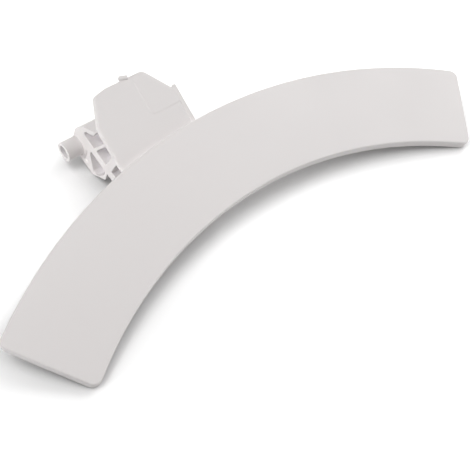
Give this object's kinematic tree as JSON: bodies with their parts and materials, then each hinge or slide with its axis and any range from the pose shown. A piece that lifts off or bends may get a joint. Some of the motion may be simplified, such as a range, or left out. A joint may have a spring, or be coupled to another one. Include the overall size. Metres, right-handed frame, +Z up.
{
  "type": "washing machine door handle",
  "caption": "Arc shaped grip plate for a round appliance door, moulded in one piece with a ribbed lever box, a pivot barrel and a latch slot.",
  "frame": {"origin": "centre of the footprint on the table, under the lying handle", "axes": "+X along the chord of the grip plate, +Y from the finger side towards the pivot, +Z up with the handle lying on its back"},
  "size_m": [0.2242, 0.093, 0.0379],
  "materials": {
    "white_plastic": "satin white moulded plastic"
  },
  "bodies": {
    "root": {"door_handle": "white_plastic"}
  },
  "joints": []
}
